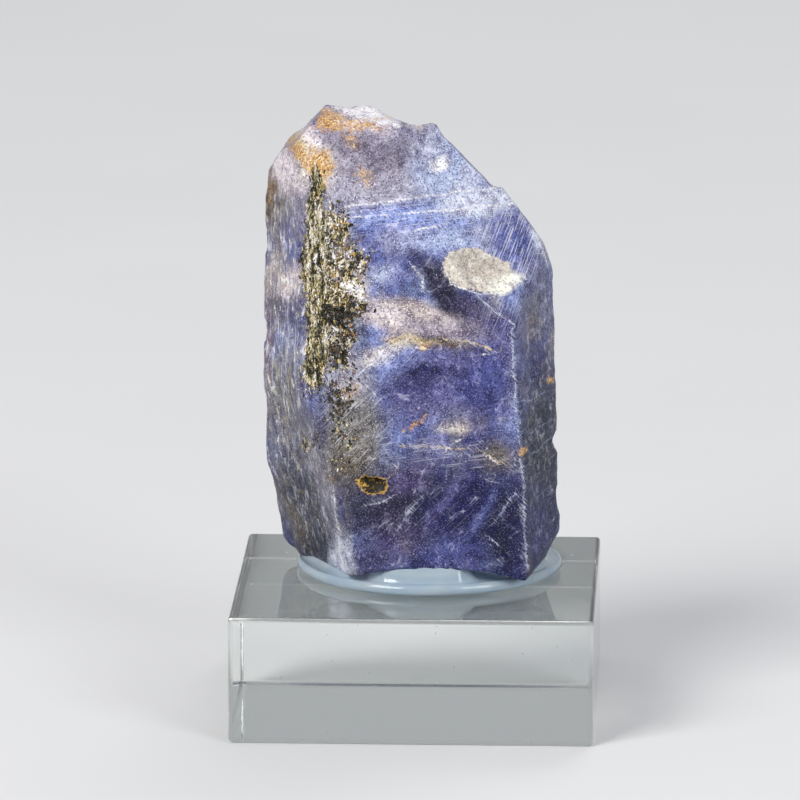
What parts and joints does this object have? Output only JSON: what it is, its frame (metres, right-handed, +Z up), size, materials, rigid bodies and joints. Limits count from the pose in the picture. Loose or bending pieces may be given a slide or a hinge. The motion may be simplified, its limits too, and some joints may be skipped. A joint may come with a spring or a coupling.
{
  "type": "corundum crystal specimen on display block",
  "caption": "Upright blue-violet corundum crystal with a mica-crusted edge, seated in a clear gel pad on a square clear display block.",
  "frame": {"origin": "middle of the display block's underside", "axes": "+Z up along the standing crystal, -Y towards the stone's broad front face, +X to its right"},
  "size_m": [0.038, 0.038, 0.0636],
  "materials": {
    "corundum": "rough crystal faces with frosty scratches, pale veils and rust stains",
    "gel": "glossy milky-blue gel",
    "acrylic": "polished clear acrylic"
  },
  "bodies": {
    "root": {"corundum_crystal": "corundum", "gel_pad": "gel", "display_block": "acrylic"}
  },
  "joints": []
}
